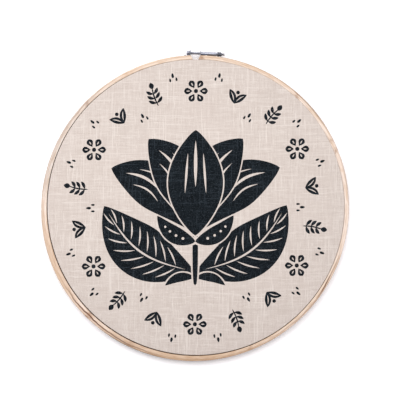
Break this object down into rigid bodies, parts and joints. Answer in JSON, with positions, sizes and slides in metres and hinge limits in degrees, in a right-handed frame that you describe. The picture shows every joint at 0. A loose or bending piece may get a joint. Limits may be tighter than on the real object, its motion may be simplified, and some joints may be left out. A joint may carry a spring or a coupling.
{
  "type": "linen stretched in a round wooden embroidery hoop",
  "caption": "Linen with a bold dark motif, stretched face up in a round, split wooden embroidery hoop with bent brackets and a thumb screw closure at the top.",
  "frame": {"origin": "centre of the bounding box on the back plane, under the middle of hoop and closure together", "axes": "+Z out of the cloth's face, +Y from the hoop's middle to the closure, +X to the right as seen from the front"},
  "size_m": [0.308, 0.3116, 0.01],
  "materials": {
    "linen": "plain-woven natural linen with slubs, printed in dark blue-black ink",
    "bamboo": "pale sanded strip with a little satin, darker at nodes and along the lower edge",
    "zinc": "bright zinc-plated steel"
  },
  "bodies": {
    "hoop": {"outer_ring": "bamboo", "inner_ring": "bamboo", "cloth": "linen", "bracket_left": "zinc", "bracket_right": "zinc", "brad_left_front": "zinc", "brad_left_back": "zinc", "brad_right_front": "zinc", "brad_right_back": "zinc", "nut": "zinc"},
    "screw": {"thumb_screw": "zinc"}
  },
  "joints": [
    {"name": "thumb_screw_turn", "type": "hinge", "parent": "hoop", "child": "screw", "pos_m": [0.0004, 0.15252, 0.005], "axis": [0.9991, -0.0419, 0], "range_deg": [0, 1800]}
  ]
}
